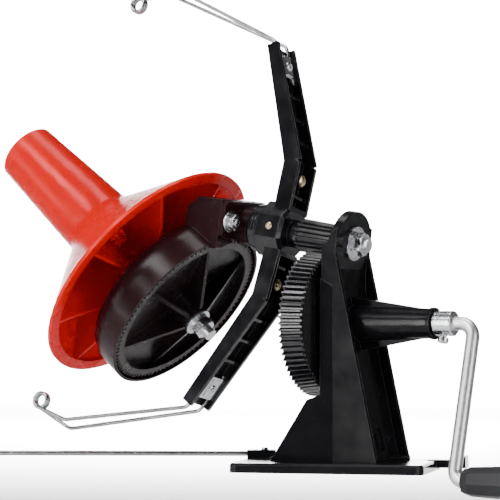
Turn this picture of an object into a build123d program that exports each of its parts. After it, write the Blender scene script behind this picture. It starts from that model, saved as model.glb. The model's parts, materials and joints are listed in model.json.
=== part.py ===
from build123d import *
import os
from math import acos, atan, cos, degrees, pi, radians, sin, sqrt, tan

# Flyer-type yarn ball winder, hand cranked.  Millimetres, +Z up.  The origin is the centre of the base's
# underside.  The crank axis runs along X, the flyer axis and the cone axis lie in the same upright plane,
# and the base is turned a little against that plane.

# ---- driving dimensions -------------------------------------------------------------------------------
MECHANISM_X = 5.0          # the lug's face on the flyer axis, from the base's centre
MECHANISM_Y = 15.0         # the upright plane that holds all three axes
CRANK_Z = 91.0             # height of the crank axis
LUG_RISE = 50.0            # flyer axis over the crank axis, at the lug
FLYER_TILT = 9.0           # flyer axis against the crank axis, degrees
CONE_TILT = 40.0           # cone axis against the horizontal, degrees
BALL_DISTANCE = 218.0      # from the lug to the middle of the ball, where flyer and cone axes cross

BASE_SKEW = 18.0           # the base's long edges against the crank axis, degrees
BASE_LENGTH = 120.0
BASE_DEPTH = 72.0
BASE_THICK = 6.0

STAND_WIDTH = 45.0
STAND_FOOT_X = 27.2        # outer face of the slanted plate at the base, from the lug
STAND_TOP_X = -1.8         # the same face where it meets the lug
STAND_TOP_Z = 136.0
WALL = 2.8
CREASE_X = -3.0            # where the side walls turn to follow the base
PLATE_RECESS = 6.5         # the slanted plate sits this far behind the side walls' edges
RECESS_TOP_Z = 112.0       # above this height the plate runs straight up to the lug
LUG_FACE = 0.4             # along the flyer axis, from the lug point towards the cone
LUG_THICK = 5.5

SHAFT_RADIUS = 4.25        # the crank rod
BOSS_END = 56.6            # crank boss, from the lug
BOSS_BORE = 6.5
COLLAR_START = BOSS_END + 0.4
CRANK_HANG = 17.0          # the crank's turn from straight down, towards the near side, degrees
CRANK_THROW = 98.0
CRANK_PLANE = 83.0         # where the crank's leg hangs, from the lug
GRIP_START = 90.0
GRIP_LENGTH = 84.0
GRIP_PIN = 75.0            # length of the rod inside the grip
GRIP_POCKET = GRIP_START + 71.0    # a wider pocket in the grip's end holds the retainer
POCKET_RADIUS = 6.2

GEAR_TEETH = 72
PINION_TEETH = 15
GEAR_FACE = -14.0          # the main gear's plain face, from the lug
GEAR_WIDTH = 14.5
DISC_TEETH = 96
CONE_PINION_TEETH = 19
DISC_RADIUS = 55.0         # pitch radius of the toothed disc at mid face
DISC_WIDTH = 8.0
TOOTH_SHARE = 0.43         # tooth thickness as a share of the pitch; the rest is gap and play
ADDENDUM = 0.85            # in modules
DEDENDUM = 1.30
PRESSURE_ANGLE = 20.0

AXLE_RADIUS = 4.0
SLEEVE_BORE = 5.2
SLEEVE_RADIUS = 6.5
RUNNING_FIT = 0.05
ARM_TURN = 11.0            # the flyer's turn at rest, upper arm to the far side, degrees
ARM_BEND_RADIUS = 45.0     # where an arm bends, from the flyer axis
ARM_BEND_S = 51.5
ARM_END_RADIUS = 119.0
ARM_END_S = 86.0
WIRE_RADIUS = 1.3
EYELET_RADIUS = 137.0
EYELET_S = 204.0

DISH_RADIUS = 61.0
DISH_FRONT = -117.8        # along the cone axis, from the ball's middle
DISH_BACK = -91.0
SKIRT_RIM = -79.8
SKIRT_RADIUS = 83.0
TUBE_ROOT = -28.0
TUBE_ROOT_RADIUS = 24.8
TUBE_TIP = 51.8
TUBE_TIP_RADIUS = 20.3
CONE_SHELL = 2.4

POSTS = [(14, -12), (14, 12), (-24, -16)]
AXLE_END = 107.0
PINION_START = 14.0
PINION_END = 38.0
HUB_START = 44.6
HUB_END = 72.0
SLEEVE_END = 100.5
BRACKET_TUBE_START = 72.6
BRACKET_FACE = 84.5
BRACKET_END = 110.0
ARM_HALF = 12.0            # half the arm's width
ARM_SCREW_X = 34.0
ARM_DEEP = 11.5
ARM_THIN = 8.0
ARM_SKIN = 2.6
WIRE_SPREAD = 7.9          # half the distance between an arm's two wires at the clip
KNEE_REACH = 27.0          # from a wire's outer bend to its eyelet
KNEE_SPREAD = 4.2          # the same at the wires' outer bends
KNEE_STAGGER = 2.4         # one wire bends this much further out than the middle, the other less
EYELET_MEAN = 4.8          # radius of the eyelet's turns
FOOT_X = 13.0
CLIP_FROM = 59.0
CLIP_TO = 75.0
DISH_WALL = 2.0
DISH_FLOOR = -93.4
BOSS_RADIUS = 11.0
BOSS_FRONT = -106.4
BOSS_REAR = -88.0
SPINDLE_RADIUS = 4.0
SPINDLE_BUSH = 6.5
BRACKET_HALF = 26.0        # the block's half width
BRACKET_TOP = 15.6         # over the flyer axis
CAVITY = 13.4              # room round the cone pinion
STUD_Y = 20.0
DISC_RIM_INNER = 51.3
DISC_RIB_PHASE = 43.0      # degrees from straight up
RIB_FRONT = -84.0          # the cone's ribs, near the hub
RIB_COUNT = 8
RIB_PHASE = 10.0           # degrees from straight up
RIB_THICK = 2.2
HUB_RADIUS = 12.0
CONE_HUB_BACK = -56.0
SPINDLE_FRONT = -142.6
SPINDLE_END = -46.0
ROD_RADIUS = 1.6
ROD_Z = 8.6
ROD_YAW = 29.0             # the rod's direction from -X towards the near side, degrees
ROD_SPAN = 300.0
ROD_RISE = 150.0
ROD_BITE = 14.0            # how far the rod reaches into its socket
SOCKET_TOP = 2.6           # over the rod's axis


# ---- derived frames -----------------------------------------------------------------------------------
LUG_Z = CRANK_Z + LUG_RISE
FT = radians(FLYER_TILT)
CT = radians(CONE_TILT)
BALL_X = MECHANISM_X - BALL_DISTANCE * cos(FT)
BALL_Z = LUG_Z + BALL_DISTANCE * sin(FT)

MECHANISM = Location((MECHANISM_X, MECHANISM_Y, 0))
# Local z along the axis, local x upwards.
CRANK = Plane(origin=(MECHANISM_X, MECHANISM_Y, CRANK_Z), x_dir=(0, 0, 1), z_dir=(1, 0, 0)).location
FLYER = Plane(origin=(MECHANISM_X, MECHANISM_Y, LUG_Z), x_dir=(sin(FT), 0, cos(FT)),
              z_dir=(-cos(FT), 0, sin(FT))).location
CONE = Plane(origin=(BALL_X, MECHANISM_Y, BALL_Z), x_dir=(sin(CT), 0, cos(CT)),
             z_dir=(-cos(CT), 0, sin(CT))).location
BASE = Location((0, 0, 0), (0, 0, BASE_SKEW))

# Bevel pair on the crank: the common apex is where the flyer axis meets the crank axis.
CRANK_APEX = LUG_RISE / tan(FT)
GEAR_CONE = atan(sin(FT) / (PINION_TEETH / GEAR_TEETH + cos(FT)))
PINION_CONE = FT - GEAR_CONE
GEAR_MID = GEAR_FACE - GEAR_WIDTH / 2
GEAR_RADIUS = (CRANK_APEX - GEAR_MID) * tan(GEAR_CONE)
PAIR_LENGTH = GEAR_RADIUS / sin(GEAR_CONE)
PINION_RADIUS = PAIR_LENGTH * sin(PINION_CONE)
PINION_APEX_S = -LUG_RISE / sin(FT)
PINION_MID = PINION_APEX_S + PAIR_LENGTH * cos(PINION_CONE)
# Bevel pair under the bracket block: the common apex is the middle of the ball.
DRIVE_ANGLE = CT - FT
DISC_CONE = atan(sin(DRIVE_ANGLE) / (CONE_PINION_TEETH / DISC_TEETH + cos(DRIVE_ANGLE)))
CONE_PINION_CONE = DRIVE_ANGLE - DISC_CONE
DISC_MID = -DISC_RADIUS / tan(DISC_CONE)
DRIVE_LENGTH = DISC_RADIUS / sin(DISC_CONE)
CONE_PINION_RADIUS = DRIVE_LENGTH * sin(CONE_PINION_CONE)
CONE_PINION_MID = BALL_DISTANCE - DRIVE_LENGTH * cos(CONE_PINION_CONE)


# ---- small helpers ------------------------------------------------------------------------------------
def rod(radius, z0, z1):
    return Pos(0, 0, z0) * Cylinder(radius, z1 - z0, align=(Align.CENTER, Align.CENTER, Align.MIN))


def ring(outer, inner, z0, z1):
    return rod(outer, z0, z1) - rod(inner, z0 - 1, z1 + 1)


def taper(r0, r1, z0, z1):
    return Pos(0, 0, z0) * Cone(r0, r1, z1 - z0, align=(Align.CENTER, Align.CENTER, Align.MIN))


def block(x0, x1, y0, y1, z0, z1):
    centre = ((x0 + x1) / 2, (y0 + y1) / 2, (z0 + z1) / 2)
    return Pos(*centre) * Box(x1 - x0, y1 - y0, z1 - z0)


def hexagon(across_flats, z0, z1):
    face = RegularPolygon(across_flats / 2, 6, major_radius=False)
    return Pos(0, 0, z0) * extrude(face, z1 - z0)


def nut(across_flats, bore, z0, z1):
    """Hexagon nut with chamfered corners."""
    corner = across_flats / sqrt(3)
    depth = corner - across_flats / 2
    body = hexagon(across_flats, z0, z1)
    body &= rod(corner, z0 + depth, z1 - depth) + taper(across_flats / 2, corner, z0, z0 + depth) \
        + taper(corner, across_flats / 2, z1 - depth, z1)
    return body - rod(bore, z0 - 1, z1 + 1)


def plate(points, plane, thickness):
    """Flat plate: an outline on a plane, grown along the plane's normal."""
    return extrude(plane * make_face(Polyline(*points, close=True)), thickness)


def pan_screw(head, shank, length):
    """Screw with a domed, cross-slotted head; the head's seat is at z = 0 and the shank runs down."""
    rise = head * 0.55
    dome = rod(head, 0, rise) & Pos(0, 0, rise - head * 1.35) * Sphere(head * 1.35)
    slot = Box(head * 1.3, head * 0.28, rise)
    cross = Pos(0, 0, rise * 1.15) * (slot + Rot(0, 0, 90) * slot)
    return dome - cross + rod(shank, -length, 0)


def tooth_outline(teeth, pitch_radius, scale):
    """Closed outline of an involute gear, with one tooth on the local x axis."""
    module = 2 * pitch_radius / teeth
    base = pitch_radius * cos(radians(PRESSURE_ANGLE))
    tip = pitch_radius + ADDENDUM * module
    root = pitch_radius - DEDENDUM * module

    def involute(radius):
        angle = acos(min(1.0, base / max(radius, base)))
        return tan(angle) - angle

    half = TOOTH_SHARE * pi / teeth
    flank = [root, max(root + 0.1 * module, base), pitch_radius, tip]
    widths = [half + involute(pitch_radius) - involute(r) for r in flank]
    side = list(zip(flank, widths))
    points = []
    for k in range(teeth):
        middle = 2 * pi * k / teeth
        for radius, width in side:
            points.append((scale * radius * cos(middle - width), scale * radius * sin(middle - width)))
        for radius, width in reversed(side):
            points.append((scale * radius * cos(middle + width), scale * radius * sin(middle + width)))
    return points


def bevel_gear(teeth, pitch_radius, mid, apex, z0, z1):
    """Straight bevel teeth: outlines on two end planes, each scaled about the apex on the axis."""
    ends = []
    for z in (z0, z1):
        points = tooth_outline(teeth, pitch_radius, (z - apex) / (mid - apex))
        ends.append(Pos(0, 0, z) * make_face(Polyline(*points, close=True)))
    return loft(ends, ruled=True)


# ---- base and stand -----------------------------------------------------------------------------------
def base_plate():
    """Flat plate with a tongue for the table clamp and a socket block for the yarn guide."""
    half_l = BASE_LENGTH / 2
    half_d = BASE_DEPTH / 2
    body = extrude(RectangleRounded(BASE_LENGTH, BASE_DEPTH, 5), BASE_THICK)
    body = chamfer(body.edges().group_by(Axis.Z)[-1], 1.2)
    body += block(half_l - 6, half_l + 16, half_d - 18, half_d - 4, 1.5, BASE_THICK + 0.6)
    body += block(half_l + 13, half_l + 18, half_d - 18, half_d - 4, 1.5, BASE_THICK + 3)
    to_base = BASE.inverse()
    body += to_base * SOCKET * block(-3, ROD_BITE + 1, -5, 5, -ROD_Z + 0.5, SOCKET_TOP)
    body -= to_base * SOCKET * Rot(0, 90, 0) * rod(ROD_RADIUS + RUNNING_FIT, -4, ROD_BITE)
    body -= to_base * SOCKET * Pos(8, 0, 0) * rod(1.5, 0, 6)
    holes = to_base * MECHANISM
    for x, y in POSTS:
        body -= holes * Pos(x, y, 0) * rod(1.9, -1, BASE_THICK + 1)
        body -= holes * Pos(x, y, 0) * rod(3.6, -1, 2.6)
    return BASE * body


def plate_face(z):
    """Outer face of the slanted plate at a height below the lug."""
    share = (z - BASE_THICK) / (STAND_TOP_Z - BASE_THICK)
    return STAND_FOOT_X + (STAND_TOP_X - STAND_FOOT_X) * share - PLATE_RECESS


def side_wall(y_out, inward):
    """Side wall: an upright part beside the slanted plate and a part turned to follow the base."""
    y0 = min(y_out, y_out + inward * WALL)
    z0 = BASE_THICK
    upright = [(STAND_FOOT_X, z0), (STAND_TOP_X, STAND_TOP_Z), (0.5, 151), (-4.5, 146.5),
               (CREASE_X - 4, 141), (CREASE_X - 7.6, 139), (CREASE_X - 8, 131), (CREASE_X - 8, 118),
               (CREASE_X, 113), (CREASE_X, z0)]
    wall = plate(upright, Plane(origin=(0, y0, 0), x_dir=(1, 0, 0), z_dir=(0, -1, 0)), -WALL)
    turned = [(-0.4, z0), (39.5, z0), (16.6, 44), (8.3, 47), (8.0, 119), (-0.4, 113.5)]
    flat = plate([(-t, z) for t, z in turned], Plane(origin=(0, 0, 0), x_dir=(1, 0, 0), z_dir=(0, -1, 0)), WALL)
    offset = 0 if inward < 0 else WALL
    crease = Location((CREASE_X, y_out, 0), (0, 0, BASE_SKEW))
    return wall + crease * Pos(0, offset, 0) * flat


def stand():
    """Hollow stand: slanted plate, side walls, floor, rounded lug, and the crank boss with its gussets."""
    half = STAND_WIDTH / 2
    foot = plate_face(BASE_THICK)
    top = plate_face(RECESS_TOP_Z)
    slanted = [(foot, BASE_THICK), (top, RECESS_TOP_Z), (top, STAND_TOP_Z + 1),
               (top - WALL, STAND_TOP_Z + 1), (top - WALL, RECESS_TOP_Z), (foot - WALL, BASE_THICK)]
    body = plate(slanted, Plane(origin=(0, -half, 0), x_dir=(1, 0, 0), z_dir=(0, -1, 0)), -STAND_WIDTH)
    body += side_wall(-half, 1) + side_wall(half, -1)
    run = 39.5
    dx = run * cos(radians(BASE_SKEW))
    dy = run * sin(radians(BASE_SKEW))
    floor = [(STAND_FOOT_X, -half), (CREASE_X, -half), (CREASE_X - dx, -half - dy),
             (CREASE_X - dx, half - dy), (CREASE_X, half), (STAND_FOOT_X, half)]
    body += plate(floor, Plane.XY.offset(BASE_THICK), 2.4)
    for x, y in POSTS:
        body += Pos(x, y, 0) * rod(4.5, BASE_THICK, BASE_THICK + 14)
    # Lug, square to the flyer axis.
    lug = rod(half, LUG_FACE, LUG_FACE + LUG_THICK)
    lug = Pos(-2.5, 0, 0) * lug + block(-15, -2.5, -half, half, LUG_FACE, LUG_FACE + LUG_THICK)
    lug += Pos(1, -17.5, 0) * rod(4.0, LUG_FACE - 3.5, LUG_FACE)
    lug += rod(9, LUG_FACE + LUG_THICK, LUG_FACE + LUG_THICK + 2)
    local_flyer = MECHANISM.inverse() * FLYER
    body += local_flyer * lug
    # Crank boss.
    local_crank = MECHANISM.inverse() * CRANK
    root = plate_face(CRANK_Z) - WALL
    boss = taper(11.4, 9.2, root - 1.6, BOSS_END - 1.6) + rod(10.0, BOSS_END - 2.2, BOSS_END)
    body += local_crank * boss
    for rise in (1, -1):
        foot = CRANK_Z + rise * 17
        gusset = [(plate_face(foot) - 1, foot), (BOSS_END - 9, CRANK_Z + rise * 9.4),
                  (BOSS_END - 9, CRANK_Z + rise * 7), (plate_face(CRANK_Z) - 1, CRANK_Z + rise * 7)]
        body += plate(gusset, Plane(origin=(0, 1.6, 0), x_dir=(1, 0, 0), z_dir=(0, -1, 0)), 3.2)
    body -= local_crank * rod(BOSS_BORE, -20, BOSS_END + 1)
    body -= local_flyer * rod(AXLE_RADIUS, -10, 20)
    # Recess with a keyhole low on the slanted plate, and pilot holes for the base screws.
    slope = degrees(atan((STAND_FOOT_X - STAND_TOP_X) / (STAND_TOP_Z - BASE_THICK)))
    recess = block(-1.2, 2, -7, 7, -7.5, 7.5) + block(-2.2, 0, -2, 2, -5, 4)
    body -= Location((plate_face(19.5), -2, 19.5), (0, -slope, 0)) * recess
    for x, y in POSTS:
        body -= Pos(x, y, 0) * rod(1.5, BASE_THICK - 1, BASE_THICK + 12)
    return MECHANISM * body


def stand_screws():
    """Three screws that come up through the base into the stand's posts."""
    screws = []
    for x, y in POSTS:
        screw = Pos(x, y, 2.5) * Rot(180, 0, 0) * (rod(3.4, 0, 1.9) + rod(1.5, -12, 0))
        screws.append(MECHANISM * screw)
    return Compound(children=screws)


# ---- crank --------------------------------------------------------------------------------------------
HANG = Rot(0, 0, -CRANK_HANG)      # the crank frame's local -x is down and its local +y is the near side


def crank_bushes():
    left = ring(BOSS_BORE, SHAFT_RADIUS + RUNNING_FIT, -2.4, 10)
    right = ring(BOSS_BORE, SHAFT_RADIUS + RUNNING_FIT, BOSS_END - 12, BOSS_END)
    return Compound(children=[CRANK * left, CRANK * right])


def crank_rod():
    """One bent steel rod: shaft, leg and grip pin."""
    path = FilletPolyline((0, 0, GEAR_FACE - GEAR_WIDTH - 8), (0, 0, CRANK_PLANE),
                          (-CRANK_THROW, 0, CRANK_PLANE), (-CRANK_THROW, 0, GRIP_START + GRIP_PIN),
                          radius=[9.4, 7.0])
    start = Plane(origin=path @ 0, z_dir=path % 0)
    body = sweep(start * Circle(SHAFT_RADIUS), path=path)
    return CRANK * HANG * body


def shaft_collar():
    z0 = COLLAR_START
    body = ring(7.8, SHAFT_RADIUS, z0, z0 + 12.6)
    body = chamfer(body.edges().filter_by(GeomType.CIRCLE).group_by(SortBy.RADIUS)[-1], 0.6)
    body -= Pos(0, 0, z0 + 6.3) * Rot(0, -90, 0) * rod(2.0, 0, 20)
    return CRANK * HANG * body


def collar_screw():
    z = COLLAR_START + 6.3
    screw = rod(2.0, SHAFT_RADIUS, 9.2) + rod(3.4, 9.2, 12.0) - Pos(0, 0, 12) * Box(8, 0.9, 2)
    return CRANK * HANG * Pos(0, 0, z) * Rot(0, -90, 0) * screw


def main_gear():
    """Conical spur-like gear: smaller at the plain face, with a dished left side and a long hub."""
    z1 = GEAR_FACE
    z0 = GEAR_FACE - GEAR_WIDTH
    body = bevel_gear(GEAR_TEETH, GEAR_RADIUS, GEAR_MID, CRANK_APEX, z0, z1)
    body -= taper(40.0, 38.0, z0 - 0.01, z1 - 4)
    body += rod(10.0, z0, z1 - 2)
    for k in range(6):
        body += Rot(0, 0, 60 * k + 30) * block(8, 39.2, -1.5, 1.5, z0 + 4, z1 - 2)
    body += rod(9.0, z1 - 0.1, z1 + 10.4)
    body -= rod(SHAFT_RADIUS, z0 - 1, z1 + 12)
    return CRANK * body


def gear_washer():
    z = GEAR_FACE - GEAR_WIDTH
    return CRANK * ring(9.0, SHAFT_RADIUS, z - 1.6, z)


def gear_nut():
    z = GEAR_FACE - GEAR_WIDTH - 1.6
    return CRANK * nut(13.0, SHAFT_RADIUS, z - 5.5, z)


def crank_grip():
    """Faceted grip that spins on the rod's end."""
    z1 = GRIP_START + GRIP_LENGTH
    outline = [(GRIP_START, 7.6), (GRIP_START + 5, 9.0), (GRIP_START + 30, 10.2), (z1 - 22, 10.2),
               (z1 - 5, 9.2), (z1, 7.6)]
    sections = [Pos(0, 0, z) * RegularPolygon(r, 8, rotation=22.5) for z, r in outline]
    body = loft(sections, ruled=True)
    bore = SHAFT_RADIUS + RUNNING_FIT
    body -= rod(bore, GRIP_START - 1, GRIP_POCKET + 1)
    body -= rod(POCKET_RADIUS, GRIP_POCKET, z1 + 1)
    return CRANK * HANG * Pos(-CRANK_THROW, 0, 0) * body


def grip_cap():
    """Plug in the open end of the grip."""
    z1 = GRIP_START + GRIP_LENGTH
    body = rod(POCKET_RADIUS, z1 - 6, z1) + rod(7.0, z1, z1 + 1.6)
    return CRANK * HANG * Pos(-CRANK_THROW, 0, 0) * body


def grip_retainer():
    """Push-on washer that keeps the grip on the rod."""
    body = ring(POCKET_RADIUS - 0.4, SHAFT_RADIUS, GRIP_POCKET + 0.5, GRIP_POCKET + 2.1)
    return CRANK * HANG * Pos(-CRANK_THROW, 0, 0) * body


# ---- flyer axle and flyer -----------------------------------------------------------------------------


def flyer_axle():
    return FLYER * rod(AXLE_RADIUS, -10.6, AXLE_END)


def axle_washers():
    outer = ring(10.9, AXLE_RADIUS, LUG_FACE - 1.8, LUG_FACE)
    back = LUG_FACE + LUG_THICK + 2
    inner = ring(8.0, AXLE_RADIUS, back, back + 1.4)
    return Compound(children=[FLYER * outer, FLYER * inner])


def axle_nuts():
    front = LUG_FACE - 1.8
    back = LUG_FACE + LUG_THICK + 3.4
    outer = nut(13.0, AXLE_RADIUS, front - 6.4, front)
    inner = nut(13.0, AXLE_RADIUS, back, back + 4.4)
    return Compound(children=[FLYER * outer, FLYER * inner])


def flyer_sleeve():
    return FLYER * ring(SLEEVE_RADIUS, SLEEVE_BORE, PINION_START, SLEEVE_END)


def flyer_bushes():
    front = ring(SLEEVE_BORE, AXLE_RADIUS + RUNNING_FIT, PINION_START, PINION_START + 12)
    rear = ring(SLEEVE_BORE, AXLE_RADIUS + RUNNING_FIT, SLEEVE_END - 12, SLEEVE_END)
    return Compound(children=[FLYER * front, FLYER * rear])


def drive_pinion():
    body = bevel_gear(PINION_TEETH, PINION_RADIUS, PINION_MID, PINION_APEX_S, PINION_START, PINION_END)
    body -= rod(SLEEVE_RADIUS, PINION_START - 1, PINION_END + 1)
    # One tooth points up, so a gap points down at the main gear's upper tooth.
    return FLYER * body


def cone_pinion():
    half = DISC_WIDTH / 2 + 0.5
    z0 = CONE_PINION_MID - half
    z1 = CONE_PINION_MID + half
    body = bevel_gear(CONE_PINION_TEETH, CONE_PINION_RADIUS, CONE_PINION_MID, BALL_DISTANCE, z0, z1)
    body -= rod(SLEEVE_RADIUS, z0 - 1, z1 + 1)
    return FLYER * body


def flyer_hub():
    """Hub with a neck behind the pinion, an eight-sided clamp body and a ridged round flange."""
    turn = Rot(0, 0, ARM_TURN)
    neck = rod(8.8, PINION_END, HUB_START)
    body = extrude(Pos(0, 0, HUB_START) * RegularPolygon(17.5, 8, major_radius=False, rotation=22.5), 18.4)
    body = chamfer(body.edges().group_by(Axis.Z)[0], 2.0)
    body += neck
    z = HUB_START + 18.4
    for k in range(3):
        body += rod(16.4 - 0.8 * k, z + 2.6 * k, z + 2.6 * k + 2.0)
        body += rod(14.6 - 0.8 * k, z + 2.6 * k + 2.0, z + 2.6 * k + 2.6)
    body += rod(12.2, z + 7.8, HUB_END)
    body -= rod(SLEEVE_RADIUS, PINION_END - 1, HUB_END + 1)
    # Open seats for the two arms' feet.
    for side in (0, 180):
        body -= Rot(0, 0, side) * block(13.0, 20, -ARM_HALF, ARM_HALF, HUB_START - 1, HUB_START + 12.4)
    for side in (90, 270):
        body -= Rot(0, 0, side) * Pos(0, 0, HUB_START + 9) * Rot(0, 90, 0) * rod(1.5, 9.5, 20)
    return FLYER * turn * body


def hub_screws():
    """Brass-coloured clamp screws on the hub's two free sides."""
    screws = []
    for side in (90, 270):
        at = Rot(0, 0, side) * Pos(17.5, 0, HUB_START + 9) * Rot(0, 90, 0)
        screws.append(FLYER * Rot(0, 0, ARM_TURN) * at * pan_screw(2.3, 1.5, 7.5))
    return Compound(children=screws)


ARM_SWEEP = atan((ARM_END_S - ARM_BEND_S) / (ARM_END_RADIUS - ARM_BEND_RADIUS))
# The swept run of an arm: local x along it from the bend, local z towards the cone.
ARM_LINE = Plane(origin=(ARM_BEND_RADIUS, 0, ARM_BEND_S), x_dir=(cos(ARM_SWEEP), 0, sin(ARM_SWEEP)),
                 z_dir=(-sin(ARM_SWEEP), 0, cos(ARM_SWEEP))).location
ARM_RUN = (ARM_END_RADIUS - ARM_BEND_RADIUS) / cos(ARM_SWEEP)


def arm():
    """Channel-shaped arm, open towards the crank: a foot in the hub, a short radial run, then a run swept
    towards the cone.  x is the distance from the flyer axis and z runs along that axis."""
    s0 = ARM_BEND_S
    z_foot = HUB_START + 0.2
    upright = Plane(origin=(0, -ARM_HALF, 0), x_dir=(1, 0, 0), z_dir=(0, -1, 0))
    inner = upright.offset(-ARM_SKIN)
    bend = ARM_BEND_RADIUS
    foot = [(FOOT_X, z_foot), (bend, s0 - ARM_DEEP / 2), (bend + 1, s0 + ARM_DEEP / 2),
            (FOOT_X, z_foot + ARM_DEEP)]
    body = plate(foot, upright, -2 * ARM_HALF)
    run = [(-1, -ARM_DEEP / 2), (ARM_RUN, -ARM_THIN / 2), (ARM_RUN, ARM_THIN / 2), (-1, ARM_DEEP / 2)]
    body += ARM_LINE * plate(run, upright, -2 * ARM_HALF)
    floor = ARM_DEEP / 2 - ARM_SKIN
    foot_hollow = [(FOOT_X + 3, z_foot - 4), (bend + 1, s0 - ARM_DEEP / 2 - 4), (bend + 1, s0 + floor),
                   (FOOT_X + 3, z_foot + ARM_DEEP - ARM_SKIN)]
    run_hollow = [(-3, -ARM_DEEP), (ARM_RUN + 1, -ARM_DEEP), (ARM_RUN + 1, ARM_THIN / 2 - ARM_SKIN),
                  (-3, floor)]
    width = -2 * (ARM_HALF - ARM_SKIN)
    body -= plate(foot_hollow, inner, width)
    body -= ARM_LINE * plate(run_hollow, inner, width)
    # Cross ribs and screw posts.
    for x in (14.0, 30.0, 46.0):
        body += ARM_LINE * block(x - 1, x + 1, -ARM_HALF + 1, ARM_HALF - 1, -2.4, 2.4)
    body += block(22, 24, -ARM_HALF + 1, ARM_HALF - 1, s0 - 4, s0 + 3.6)
    body += Pos(ARM_SCREW_X, 0, 0) * rod(4.2, s0 - 4.0, s0 + 4)
    body -= Pos(ARM_SCREW_X, 0, 0) * rod(1.5, s0 - 5.0, s0 + 3)
    body -= ARM_LINE * Pos((CLIP_FROM + CLIP_TO) / 2, 0, 0) * rod(1.3, -2, 3.4)
    return body


def arm_upper():
    return FLYER * Rot(0, 0, ARM_TURN) * arm()


def arm_lower():
    return FLYER * Rot(0, 0, ARM_TURN + 180) * arm()


def arm_screws():
    screws = []
    for side in (0, 180):
        at = Rot(0, 0, ARM_TURN + side) * Pos(ARM_SCREW_X, 0, ARM_BEND_S - 4.0) * Rot(180, 0, 0)
        screws.append(FLYER * at * pan_screw(3.6, 1.5, 6.5))
    return Compound(children=screws)


def wire_guide():
    """Two wires from the arm's end that close in a two-turn eyelet, as one bent wire."""
    lift = -0.1
    start = (ARM_LINE * Pos(CLIP_FROM - 2, 0, lift)).position
    corner = (ARM_LINE * Pos(ARM_RUN + 3.0, 0, lift)).position
    along = Vector(-7, 0, 26).normalized()
    out = Vector(26, 0, 7).normalized()
    centre = Vector(EYELET_RADIUS, 0, EYELET_S)
    touch = centre + out * EYELET_MEAN
    knee = touch - along * KNEE_REACH
    body = None
    for side in (-1, 1):
        wide = Vector(0, side * WIRE_SPREAD, 0)
        bend = knee + Vector(-side * KNEE_STAGGER, side * KNEE_SPREAD, 0)
        close = Vector(0, side * 1.25, 0)
        path = FilletPolyline(start + wide, corner + wide, bend, touch + close, radius=[6, 9])
        wire = sweep(Plane(origin=path @ 0, z_dir=path % 0) * Circle(WIRE_RADIUS), path=path)
        turn = Location(centre + close) * Rot(90, 0, 0) * Torus(EYELET_MEAN, WIRE_RADIUS + 0.08)
        wire += turn
        body = wire if body is None else body + wire
    return body


def wire_guide_upper():
    return FLYER * Rot(0, 0, ARM_TURN) * wire_guide()


def wire_guide_lower():
    return FLYER * Rot(0, 0, ARM_TURN + 180) * wire_guide()


def wire_clips():
    """Folded steel saddles that hold the wires down in the arms' ends."""
    over = -0.1 - WIRE_RADIUS
    body = block(CLIP_FROM, CLIP_TO, -9.2, 9.2, over - 1.1, over)
    for side in (-1, 1):
        y0 = side * 5.9
        body += block(CLIP_FROM, CLIP_TO, y0 - 0.55, y0 + 0.55, over - 1.1, ARM_THIN / 2 - ARM_SKIN)
    body += block(CLIP_FROM + 1.5, CLIP_TO - 1.5, -4.0, 4.0, over - 2.0, over - 1.1)
    body -= Pos((CLIP_FROM + CLIP_TO) / 2, 0, 0) * rod(1.5, -5, 5)
    return Compound(children=[FLYER * Rot(0, 0, ARM_TURN + side) * ARM_LINE * body for side in (0, 180)])


def clip_screws():
    seat = -0.1 - WIRE_RADIUS - 2.0
    at = ARM_LINE * Pos((CLIP_FROM + CLIP_TO) / 2, 0, seat) * Rot(180, 0, 0)
    screw = at * pan_screw(3.1, 1.3, 6.0)
    return Compound(children=[FLYER * Rot(0, 0, ARM_TURN + side) * screw for side in (0, 180)])


# ---- bracket, dish and cone ---------------------------------------------------------------------------


def solid_of_turn(outline):
    """Solid of revolution about local z from an outline of (radius, z) points."""
    return revolve(Plane.XZ * make_face(Polyline(*outline, close=True)), Axis.Z)


def dish():
    outline = [(0, DISH_BACK), (50, DISH_BACK), (57.5, DISH_BACK - 3), (DISH_RADIUS - 0.6, DISH_BACK - 9),
               (DISH_RADIUS, DISH_FRONT), (DISH_RADIUS - DISH_WALL, DISH_FRONT),
               (DISH_RADIUS - DISH_WALL - 0.6, DISH_BACK - 9.5), (55.8, DISH_BACK - 5), (49.4, DISH_FLOOR),
               (0, DISH_FLOOR)]
    return solid_of_turn(outline)


def cone_bracket():
    """Fixed bracket: the block that the axle ends in, the round dish and the spindle's bearing boss."""
    local = FLYER.inverse() * CONE
    body = local * (dish() + rod(BOSS_RADIUS, BOSS_FRONT, BOSS_REAR))
    outline = [(-16, BRACKET_FACE), (BRACKET_TOP, BRACKET_FACE), (BRACKET_TOP, BRACKET_END - 8),
               (8, BRACKET_END), (-16, BRACKET_END)]
    half = BRACKET_HALF
    upright = Plane(origin=(0, -half, 0), x_dir=(1, 0, 0), z_dir=(0, -1, 0))
    block_body = plate(outline, upright, -2 * half)
    block_body = fillet(block_body.edges().filter_by(Axis.Y), 1.5)
    # The block stops short of the toothed disc inside the dish.
    block_body -= local * rod(DISH_RADIUS - DISH_WALL, DISH_FRONT - 30, DISH_FLOOR)
    body += block_body
    body -= rod(CAVITY, BRACKET_FACE - 1, SLEEVE_END + 1)
    body -= rod(AXLE_RADIUS, BRACKET_FACE, AXLE_END)
    for side in (-1, 1):
        body -= Pos(2, side * STUD_Y, 0) * rod(2.5, BRACKET_FACE - 1, BRACKET_FACE + 8)
    body -= local * rod(SPINDLE_BUSH, BOSS_FRONT - 1, BOSS_REAR + 1)
    # The disc turns free of everything in front of the dish's floor.
    body -= local * ring(DISH_RADIUS - DISH_WALL - 0.6, BOSS_RADIUS, DISH_FRONT - 30, BOSS_FRONT)
    return FLYER * body


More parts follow.
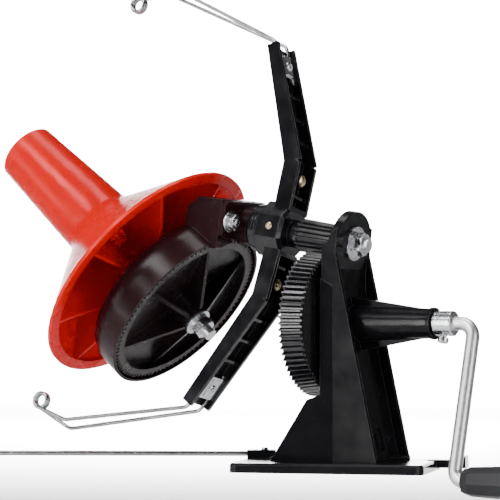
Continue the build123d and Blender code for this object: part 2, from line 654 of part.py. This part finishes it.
def bracket_cap():
    """Flanged tube that closes the block round the flyer's sleeve."""
    body = rod(12.5, BRACKET_TUBE_START, BRACKET_FACE - 3.0)
    flange = block(-9, BRACKET_TOP - 0.6, -BRACKET_HALF, BRACKET_HALF, BRACKET_FACE - 3.0, BRACKET_FACE)
    flange = fillet(flange.edges().filter_by(Axis.Z), 4.0)
    body += flange
    body -= rod(SLEEVE_RADIUS + 0.4, BRACKET_TUBE_START - 1, BRACKET_FACE + 1)
    for side in (-1, 1):
        body -= Pos(2, side * STUD_Y, 0) * rod(2.5, BRACKET_FACE - 5, BRACKET_FACE + 1)
    local = FLYER.inverse() * CONE
    body -= local * rod(DISH_RADIUS + 0.2, DISH_FRONT - 30, DISH_BACK)
    return FLYER * body


def bracket_studs():
    face = BRACKET_FACE - 3.0
    return Compound(children=[FLYER * Pos(2, side * STUD_Y, 0) * rod(2.5, face - 7.0, BRACKET_FACE + 8)
                              for side in (-1, 1)])


def bracket_washers():
    face = BRACKET_FACE - 3.0
    return Compound(children=[FLYER * Pos(2, side * STUD_Y, 0) * ring(6.6, 2.5, face - 1.4, face)
                              for side in (-1, 1)])


def bracket_nuts():
    face = BRACKET_FACE - 4.4
    return Compound(children=[FLYER * Pos(2, side * STUD_Y, 0) * nut(9.0, 2.5, face - 4.2, face)
                              for side in (-1, 1)])


def spindle_bushes():
    front = ring(SPINDLE_BUSH, SPINDLE_RADIUS + RUNNING_FIT, BOSS_FRONT, BOSS_FRONT + 8)
    rear = ring(SPINDLE_BUSH, SPINDLE_RADIUS + RUNNING_FIT, BOSS_REAR - 8, BOSS_REAR)
    return Compound(children=[CONE * front, CONE * rear])


DISC_FRONT = DISC_MID - DISC_WIDTH / 2
DISC_BACK = DISC_MID + DISC_WIDTH / 2
DISC_WEB = DISC_BACK - 2.2
HUB_FRONT = DISC_FRONT - 11.5
HUB_BACK = BOSS_FRONT - 0.6
CONE_HUB_FRONT = BOSS_REAR + 0.6


def cone_gear():
    """Toothed disc in the dish: bevel teeth on the rim, a recessed web, six ribs that rise to the hub."""
    body = bevel_gear(DISC_TEETH, DISC_RADIUS, DISC_MID, 0, DISC_FRONT, DISC_BACK)
    body -= rod(DISC_RIM_INNER, DISC_FRONT - 1, DISC_WEB)
    body += rod(9.5, HUB_FRONT, HUB_BACK)
    rib = [(8, DISC_WEB + 0.5), (8, HUB_FRONT + 0.6), (DISC_RIM_INNER + 0.5, DISC_WEB - 1.6),
           (DISC_RIM_INNER + 0.5, DISC_WEB + 0.5)]
    upright = Plane(origin=(0, -1.3, 0), x_dir=(1, 0, 0), z_dir=(0, -1, 0))
    for k in range(6):
        body += Rot(0, 0, 60 * k + DISC_RIB_PHASE) * plate(rib, upright, -2.6)
    body -= rod(SPINDLE_RADIUS, HUB_FRONT - 1, HUB_BACK + 1)
    return CONE * body


def spindle():
    return CONE * rod(SPINDLE_RADIUS, SPINDLE_FRONT, SPINDLE_END)


def spindle_washers():
    large = ring(9.4, SPINDLE_RADIUS, HUB_FRONT - 1.6, HUB_FRONT)
    small = ring(7.6, SPINDLE_RADIUS, HUB_FRONT - 3.0, HUB_FRONT - 1.6)
    rear = ring(9.0, SPINDLE_RADIUS, CONE_HUB_BACK, CONE_HUB_BACK + 1.6)
    return Compound(children=[CONE * large, CONE * small, CONE * rear])


def spindle_nuts():
    front = nut(13.0, SPINDLE_RADIUS, HUB_FRONT - 9.4, HUB_FRONT - 3.0)
    rear = nut(13.0, SPINDLE_RADIUS, CONE_HUB_BACK + 1.6, CONE_HUB_BACK + 8.0)
    return Compound(children=[CONE * front, CONE * rear])


def winding_cone():
    """Tapered tube with a flared skirt, and radial ribs inside the skirt that hold a hub on the spindle."""
    t = CONE_SHELL
    slope_in = 36.0
    outer = [(0, TUBE_TIP), (TUBE_TIP_RADIUS - 1.5, TUBE_TIP), (TUBE_TIP_RADIUS, TUBE_TIP - 1.5),
             (TUBE_ROOT_RADIUS, TUBE_ROOT), (27.0, TUBE_ROOT - 4.5), (slope_in, TUBE_ROOT - 12),
             (SKIRT_RADIUS - 2.5, SKIRT_RIM + 4.2), (SKIRT_RADIUS, SKIRT_RIM + 2.4), (SKIRT_RADIUS, SKIRT_RIM),
             (0, SKIRT_RIM)]
    inner = [(0, TUBE_TIP - t), (TUBE_TIP_RADIUS - t, TUBE_TIP - t), (TUBE_ROOT_RADIUS - t, TUBE_ROOT),
             (27.0 - t, TUBE_ROOT - 5.2), (slope_in - 1.5, TUBE_ROOT - 13.9),
             (SKIRT_RADIUS - 6.0, SKIRT_RIM + 3.9), (SKIRT_RADIUS - 7.5, SKIRT_RIM + 2.2),
             (SKIRT_RADIUS - 7.5, SKIRT_RIM - 1), (0, SKIRT_RIM - 1)]
    body = solid_of_turn(outer) - solid_of_turn(inner)
    body += rod(HUB_RADIUS, CONE_HUB_FRONT, CONE_HUB_BACK)
    # The ribs' outer edges run a little way into the shell, so that all is one piece.
    bite = 0.7
    rib = [(HUB_RADIUS - 2, RIB_FRONT), (44, RIB_FRONT), (SKIRT_RADIUS - 7.0, SKIRT_RIM + 1.4),
           (SKIRT_RADIUS - 6.0, SKIRT_RIM + 3.9 + bite), (slope_in - 1.5, TUBE_ROOT - 13.9 + bite),
           (27.0 - t, TUBE_ROOT - 5.2 + bite), (22.0, TUBE_ROOT - 5.2), (20.0, TUBE_ROOT - 16),
           (HUB_RADIUS + 1, CONE_HUB_BACK), (HUB_RADIUS - 2, CONE_HUB_BACK)]
    upright = Plane(origin=(0, -RIB_THICK / 2, 0), x_dir=(1, 0, 0), z_dir=(0, -1, 0))
    for k in range(RIB_COUNT):
        body += Rot(0, 0, 360 / RIB_COUNT * k + RIB_PHASE) * plate(rib, upright, -RIB_THICK)
    body -= rod(SPINDLE_RADIUS, CONE_HUB_FRONT - 1, CONE_HUB_BACK + 1)
    return CONE * body


# ---- yarn guide ---------------------------------------------------------------------------------------
SOCKET = Location((-63.5, 4.5, ROD_Z), (0, 0, ROD_YAW))


def yarn_guide_rod():
    """Straight steel rod out to the left, bent up to a closed eyelet."""
    path = FilletPolyline((ROD_BITE, 0, 0), (-ROD_SPAN, 0, 0), (-ROD_SPAN, 0, ROD_RISE), radius=18)
    body = sweep(Plane(origin=path @ 0, z_dir=path % 0) * Circle(ROD_RADIUS), path=path)
    body += Pos(-ROD_SPAN, 0, ROD_RISE + 7.0) * Rot(90, 0, 0) * Torus(7.0, ROD_RADIUS)
    return SOCKET * body


def guide_set_screw():
    body = rod(1.5, ROD_RADIUS + 0.05, SOCKET_TOP) + rod(2.2, SOCKET_TOP, SOCKET_TOP + 1.4)
    body -= Pos(0, 0, SOCKET_TOP + 1.4) * Box(7, 0.8, 1.4)
    return SOCKET * Pos(8, 0, 0) * body


PARTS = {
    "base_plate": base_plate, "stand": stand, "stand_screws": stand_screws,
    "crank_bushes": crank_bushes, "crank_rod": crank_rod, "shaft_collar": shaft_collar,
    "collar_screw": collar_screw, "main_gear": main_gear, "gear_washer": gear_washer, "gear_nut": gear_nut,
    "crank_grip": crank_grip, "grip_cap": grip_cap,
    "grip_retainer": grip_retainer,
    "flyer_axle": flyer_axle, "axle_washers": axle_washers, "axle_nuts": axle_nuts,
    "flyer_sleeve": flyer_sleeve, "flyer_bushes": flyer_bushes, "drive_pinion": drive_pinion,
    "cone_pinion": cone_pinion, "flyer_hub": flyer_hub, "hub_screws": hub_screws,
    "arm_upper": arm_upper, "arm_lower": arm_lower, "arm_screws": arm_screws,
    "wire_guide_upper": wire_guide_upper, "wire_guide_lower": wire_guide_lower,
    "wire_clips": wire_clips, "clip_screws": clip_screws,
    "cone_bracket": cone_bracket, "bracket_cap": bracket_cap, "bracket_studs": bracket_studs,
    "bracket_washers": bracket_washers, "bracket_nuts": bracket_nuts,
    "spindle_bushes": spindle_bushes, "cone_gear": cone_gear, "spindle": spindle,
    "spindle_washers": spindle_washers, "spindle_nuts": spindle_nuts, "winding_cone": winding_cone,
    "yarn_guide_rod": yarn_guide_rod, "guide_set_screw": guide_set_screw,
}

os.makedirs("parts", exist_ok=True)
for name, make in PARTS.items():
    export_step(make(), f"parts/{name}.step")
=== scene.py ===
import bpy
import json
from math import cos, pi, radians, sin
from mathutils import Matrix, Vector

# Looks of a hand-cranked yarn ball winder.  Metres, the CAD frame: the crank axis runs along X.
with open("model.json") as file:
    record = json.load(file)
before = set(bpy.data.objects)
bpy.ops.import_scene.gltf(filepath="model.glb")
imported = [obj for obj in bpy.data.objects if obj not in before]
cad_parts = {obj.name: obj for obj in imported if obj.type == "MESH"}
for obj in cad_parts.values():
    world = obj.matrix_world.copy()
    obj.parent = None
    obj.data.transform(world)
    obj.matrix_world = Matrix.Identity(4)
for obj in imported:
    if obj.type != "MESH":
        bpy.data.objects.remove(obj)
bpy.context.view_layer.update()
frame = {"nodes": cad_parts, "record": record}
NODES = frame["nodes"]

# Where the camera stands and looks.
CRANK_POINT = Vector((0.005, 0.015, 0.091))     # on the crank axis, under the lug
CAMERA_AZIMUTH = radians(29.0)                  # from straight in front, towards the handle
CAMERA_DISTANCE = 1.5
FOCAL_MM = 172.8
SENSOR_MM = 36.0
AIM = Vector((-0.052, -0.017, 0.137))           # what the middle of the picture looks at

# Directions as the camera sees them.
FRONT = Vector((sin(CAMERA_AZIMUTH), -cos(CAMERA_AZIMUTH), 0.0))
SIDE = Vector((cos(CAMERA_AZIMUTH), sin(CAMERA_AZIMUTH), 0.0))
UP = Vector((0.0, 0.0, 1.0))

# What the lights aim at.
MIDDLE = (-0.1, 0.0, 0.15)
GEARS = (0.0, 0.0, 0.1)
DISC = (-0.15, 0.0, 0.12)

# The paper that the object is shown on: a floor that curves up behind it.
FLOOR_Z = -0.13                                 # below the lowest swing of the handle
PAPER_FRONT = 6.0                               # how far the floor runs in front of the object
PAPER_DEPTH = 6.5                               # how far behind it the wall stands
PAPER_TOP = 2.2
PAPER_HALF_WIDTH = 9.0
PAPER_BEND = 0.6                                # radius between floor and wall
BEND_STEPS = 12

# Weld and rounding of the CAD meshes.
WELD_DISTANCE = 0.000002
SHARP_ANGLE = radians(40.0)                     # edges sharper than this are rounded
ROUND_SEGMENTS = 2


# ---- materials ----------------------------------------------------------------------------------------
def new_material(name):
    material = bpy.data.materials.new(name)
    material.use_nodes = True
    nodes = material.node_tree.nodes
    shader = nodes["Principled BSDF"]
    return material, nodes, material.node_tree.links, shader


def noise(nodes, links, coords, scale, detail=3.0, stretch=(1, 1, 1)):
    """Noise in object space, stretched where the grain runs one way."""
    mapping = nodes.new("ShaderNodeMapping")
    mapping.inputs["Scale"].default_value = stretch
    links.new(coords.outputs["Object"], mapping.inputs["Vector"])
    texture = nodes.new("ShaderNodeTexNoise")
    texture.inputs["Scale"].default_value = scale
    texture.inputs["Detail"].default_value = detail
    links.new(mapping.outputs["Vector"], texture.inputs["Vector"])
    return texture.outputs["Fac"]


def ramp(nodes, links, value, low, high, out_low, out_high):
    node = nodes.new("ShaderNodeMapRange")
    node.inputs["From Min"].default_value = low
    node.inputs["From Max"].default_value = high
    node.inputs["To Min"].default_value = out_low
    node.inputs["To Max"].default_value = out_high
    links.new(value, node.inputs["Value"])
    return node.outputs["Result"]


def edge_mask(nodes, links, radius):
    """1 near sharp edges and 0 on open faces, from how far a rounded normal leaves the true one."""
    bevel = nodes.new("ShaderNodeBevel")
    bevel.samples = 4
    bevel.inputs["Radius"].default_value = radius
    geometry = nodes.new("ShaderNodeNewGeometry")
    dot = nodes.new("ShaderNodeVectorMath")
    dot.operation = "DOT_PRODUCT"
    links.new(bevel.outputs["Normal"], dot.inputs[0])
    links.new(geometry.outputs["Normal"], dot.inputs[1])
    return bevel.outputs["Normal"], ramp(nodes, links, dot.outputs["Value"], 0.995, 0.85, 0.0, 1.0)


def mix_color(nodes, links, factor, first, second):
    node = nodes.new("ShaderNodeMix")
    node.data_type = "RGBA"
    links.new(factor, node.inputs[0])
    for socket, color in ((node.inputs[6], first), (node.inputs[7], second)):
        if isinstance(color, tuple):
            socket.default_value = (*color, 1.0)
        else:
            links.new(color, socket)
    return node.outputs[2]


def bump(nodes, links, height, strength, distance, normal=None):
    node = nodes.new("ShaderNodeBump")
    node.inputs["Strength"].default_value = strength
    node.inputs["Distance"].default_value = distance
    links.new(height, node.inputs["Height"])
    if normal is not None:
        links.new(normal, node.inputs["Normal"])
    return node.outputs["Normal"]


def plastic(name, color, edge_highlight, rough, radius=0.0006, specular=0.5, grain=900.0, grain_strength=0.12):
    """Moulded plastic: slow colour variation, fine moulding grain, rounded edges paler with a painted
    highlight.
    """
    material, nodes, links, shader = new_material(name)
    coords = nodes.new("ShaderNodeTexCoord")
    rounded, edges = edge_mask(nodes, links, radius)
    slow = noise(nodes, links, coords, 22.0)
    smudge = noise(nodes, links, coords, 75.0, 5.0)
    fine = noise(nodes, links, coords, grain, 2.0)
    tint = tuple(min(1.0, c * 1.5 + 0.0015) for c in color)
    base = mix_color(nodes, links, ramp(nodes, links, slow, 0.35, 0.65, 0.0, 1.0), color, tint)
    # Rounded edges are mixed towards the second colour: a painted highlight along them.
    links.new(mix_color(nodes, links, ramp(nodes, links, edges, 0, 1, 0.0, 0.55), base, edge_highlight),
              shader.inputs["Base Color"])
    links.new(ramp(nodes, links, smudge, 0.3, 0.7, rough - 0.05, rough + 0.07), shader.inputs["Roughness"])
    links.new(bump(nodes, links, fine, grain_strength, 0.0002, rounded), shader.inputs["Normal"])
    shader.inputs["Specular IOR Level"].default_value = specular
    return material


def metal(name, color, dark, rough, stretch=(1, 1, 1), scale=260.0, radius=0.0004, streak=0.2):
    """Bare or plated metal: drawn streaks, cloudy plating, brighter edges painted as a highlight."""
    material, nodes, links, shader = new_material(name)
    coords = nodes.new("ShaderNodeTexCoord")
    rounded, edges = edge_mask(nodes, links, radius)
    cloud = noise(nodes, links, coords, 60.0, 4.0)
    streaks = noise(nodes, links, coords, scale, 3.0, stretch)
    base = mix_color(nodes, links, ramp(nodes, links, cloud, 0.35, 0.7, 0.0, 1.0), color, dark)
    # Edges are mixed up to half towards a brighter colour: a painted highlight along them.
    bright = tuple(min(1.0, c * 1.1) for c in color)
    links.new(mix_color(nodes, links, ramp(nodes, links, edges, 0, 1, 0.0, 0.5), base, bright),
              shader.inputs["Base Color"])
    shader.inputs["Metallic"].default_value = 1.0
    links.new(ramp(nodes, links, streaks, 0.3, 0.7, rough - 0.06, rough + 0.1), shader.inputs["Roughness"])
    links.new(bump(nodes, links, streaks, streak, 0.0001, rounded), shader.inputs["Normal"])
    return material


def red_plastic():
    """Glossy red moulding that lets some light through its thin walls."""
    material, nodes, links, shader = new_material("cone_red")
    coords = nodes.new("ShaderNodeTexCoord")
    rounded, edges = edge_mask(nodes, links, 0.0008)
    slow = noise(nodes, links, coords, 14.0)
    fine = noise(nodes, links, coords, 650.0, 2.0)
    smudge = noise(nodes, links, coords, 45.0, 5.0)
    base = mix_color(nodes, links, ramp(nodes, links, slow, 0.35, 0.65, 0.0, 1.0),
                     (0.60, 0.0010, 0.0008), (0.66, 0.003, 0.0015))
    # Rounded edges are mixed towards a paler red: a painted highlight along them.
    links.new(mix_color(nodes, links, ramp(nodes, links, edges, 0, 1, 0.0, 0.5), base, (0.62, 0.02, 0.014)),
              shader.inputs["Base Color"])
    links.new(ramp(nodes, links, smudge, 0.3, 0.7, 0.2, 0.32), shader.inputs["Roughness"])
    links.new(bump(nodes, links, fine, 0.06, 0.0002, rounded), shader.inputs["Normal"])
    shader.inputs["Subsurface Weight"].default_value = 0.3
    shader.inputs["Subsurface Radius"].default_value = (0.02, 0.003, 0.0015)
    shader.inputs["Subsurface Scale"].default_value = 1.0
    shader.inputs["Specular IOR Level"].default_value = 0.12
    shader.inputs["Metallic"].default_value = 0.05
    return material


# The second colour of each plastic is a painted highlight on its rounded edges; each metal has its edges
# painted brighter.
MATERIALS = {
    "stand_black": plastic("stand_black", (0.0035, 0.0035, 0.0045), (0.05, 0.05, 0.055), 0.2, specular=0.14),
    # The faint red in this black is a painted reflection of the red cone beside it.
    "bracket_black": plastic("bracket_black", (0.010, 0.0022, 0.003), (0.05, 0.04, 0.045), 0.22,
                             specular=0.11),
    "gear_black": plastic("gear_black", (0.004, 0.004, 0.005), (0.12, 0.12, 0.125), 0.2, radius=0.0003,
                          specular=0.5),
    "disc_black": plastic("disc_black", (0.007, 0.0035, 0.004), (0.07, 0.07, 0.075), 0.3, radius=0.0003,
                          specular=0.34),
    "flyer_black": plastic("flyer_black", (0.003, 0.003, 0.004), (0.05, 0.05, 0.055), 0.13, specular=0.5),
    "cone_red": red_plastic(),
    "grip_grey": plastic("grip_grey", (0.008, 0.008, 0.010), (0.06, 0.06, 0.065), 0.38, specular=0.3,
                         grain=500.0),
    "bush_bronze": metal("bush_bronze", (0.20, 0.15, 0.10), (0.12, 0.09, 0.06), 0.45),
    "bright_steel": metal("bright_steel", (0.78, 0.78, 0.80), (0.70, 0.70, 0.72), 0.34, scale=700.0,
                          streak=0.05),
    "spring_wire": metal("spring_wire", (0.36, 0.36, 0.37), (0.24, 0.24, 0.25), 0.2,
                         scale=700.0, streak=0.05),
    "zinc_steel": metal("zinc_steel", (0.76, 0.77, 0.79), (0.64, 0.65, 0.68), 0.2, scale=900.0, streak=0.05),
    "clip_steel": metal("clip_steel", (0.78, 0.78, 0.80), (0.64, 0.64, 0.68), 0.16, scale=900.0, streak=0.05),
    "brass_screw": metal("brass_screw", (0.66, 0.58, 0.36), (0.48, 0.40, 0.22), 0.24, scale=900.0,
                         streak=0.05),
}

# Nodes whose own finish differs from the rest of their slot.
FINER = {"cone_gear": "disc_black"}

# Radius of the moulded or turned edges, by slot.
ROUNDED = {"stand_black": 0.0005, "bracket_black": 0.0005, "flyer_black": 0.0005, "cone_red": 0.0005,
           "grip_grey": 0.0004, "zinc_steel": 0.0002, "clip_steel": 0.0002}


def round_edges(node, radius):
    """Joins the imported triangles and rounds the sharp edges a little."""
    weld = node.modifiers.new("weld", "WELD")
    weld.merge_threshold = WELD_DISTANCE
    bevel = node.modifiers.new("round", "BEVEL")
    bevel.width = radius
    bevel.segments = ROUND_SEGMENTS
    bevel.limit_method = "ANGLE"
    bevel.angle_limit = SHARP_ANGLE
    bevel.use_clamp_overlap = True
    bevel.harden_normals = True
    weighted = node.modifiers.new("normals", "WEIGHTED_NORMAL")
    weighted.keep_sharp = True
    weighted.weight = 90


def dress_cad_nodes():
    """Gives every CAD node the procedural material of its slot."""
    for part in frame["record"]["subparts"]:
        node = NODES[part["node"]]
        material = MATERIALS[FINER.get(part["node"], part["material_slot"])]
        for place in node.material_slots:
            place.material = material
        if part["material_slot"] in ROUNDED:
            round_edges(node, ROUNDED[part["material_slot"]])


dress_cad_nodes()


# ---- floor, light and camera --------------------------------------------------------------------------
def add_camera():
    data = bpy.data.cameras.new("camera")
    data.lens = FOCAL_MM
    data.sensor_width = SENSOR_MM
    camera = bpy.data.objects.new("camera", data)
    bpy.context.collection.objects.link(camera)
    camera.location = CRANK_POINT + FRONT * CAMERA_DISTANCE
    camera.rotation_euler = (AIM - camera.location).to_track_quat("-Z", "Y").to_euler()
    bpy.context.scene.camera = camera


def add_light(name, place, target, size, power, spread=180.0):
    data = bpy.data.lights.new(name, "AREA")
    data.shape = "RECTANGLE"
    data.size = size[0]
    data.size_y = size[1]
    data.energy = power
    data.spread = radians(spread)
    light = bpy.data.objects.new(name, data)
    bpy.context.collection.objects.link(light)
    light.location = place
    light.rotation_euler = (Vector(target) - Vector(place)).to_track_quat("-Z", "Y").to_euler()


def paper_profile():
    """The paper seen from the side, as (behind the object, height) points from front to top."""
    profile = [(-PAPER_FRONT, FLOOR_Z), (PAPER_DEPTH - PAPER_BEND, FLOOR_Z)]
    for k in range(1, BEND_STEPS + 1):
        angle = pi / 2 * k / BEND_STEPS
        profile.append((PAPER_DEPTH - PAPER_BEND + PAPER_BEND * sin(angle),
                        FLOOR_Z + PAPER_BEND - PAPER_BEND * cos(angle)))
    profile.append((PAPER_DEPTH, PAPER_TOP))
    return profile


def paper_material():
    material, nodes, links, shader = new_material("floor_paper")
    shader.inputs["Base Color"].default_value = (0.93, 0.93, 0.93, 1)
    shader.inputs["Roughness"].default_value = 0.9
    shader.inputs["Specular IOR Level"].default_value = 0.1
    return material


def add_stage():
    """Pale paper, low enough for the crank handle to hang over it."""
    profile = paper_profile()
    mesh = bpy.data.meshes.new("floor")
    vertices = [(x, y, z) for y, z in profile for x in (-PAPER_HALF_WIDTH, PAPER_HALF_WIDTH)]
    faces = [(2 * k, 2 * k + 1, 2 * k + 3, 2 * k + 2) for k in range(len(profile) - 1)]
    mesh.from_pydata(vertices, [], faces)
    floor = bpy.data.objects.new("floor", mesh)
    bpy.context.collection.objects.link(floor)
    floor.rotation_euler = (0, 0, CAMERA_AZIMUTH)
    mesh.materials.append(paper_material())
    for polygon in mesh.polygons:
        polygon.use_smooth = True


def add_world():
    world = bpy.data.worlds.new("studio")
    world.use_nodes = True
    background = world.node_tree.nodes["Background"]
    background.inputs["Color"].default_value = (1, 1, 1, 1)
    background.inputs["Strength"].default_value = 0.1
    bpy.context.scene.world = world


def light_object():
    """Softboxes round the object.  Sizes are across and up, powers in watts."""
    add_light("key", FRONT * 0.9 - SIDE * 0.9 + UP * 1.5, MIDDLE, (0.7, 0.5), 21)
    add_light("fill", FRONT * 1.2 + SIDE * 1.3 + UP * 0.6, MIDDLE, (0.3, 1.2), 10)
    add_light("left_strip", -SIDE * 1.5 + FRONT * 0.3 + UP * 0.35, MIDDLE, (0.25, 1.2), 6)
    add_light("glint", FRONT * 0.9 - SIDE * 1.0 + UP * 0.25, GEARS, (0.12, 0.9), 12)
    add_light("low_front", FRONT * 1.5 + SIDE * 0.9 - UP * 0.02, DISC, (0.5, 0.5), 9)
    add_light("top", -FRONT * 0.2 + UP * 1.7, MIDDLE, (1.0, 0.6), 16)


def light_paper():
    """Two lights that face away from the object and turn the paper behind it white."""
    wall = -FRONT * PAPER_DEPTH - SIDE * 0.3 + UP * 0.5
    floor = -FRONT * 4.0 - SIDE * 0.2 + UP * FLOOR_Z
    add_light("backdrop_high", -FRONT * 4.8 - SIDE * 0.3 + UP * 2.2, wall, (2.4, 0.6), 560, 110.0)
    add_light("backdrop_low", -FRONT * 3.0 - SIDE * 0.2 + UP * 2.0, floor, (2.0, 2.0), 620, 120.0)


add_camera()
add_stage()
add_world()
light_object()
light_paper()
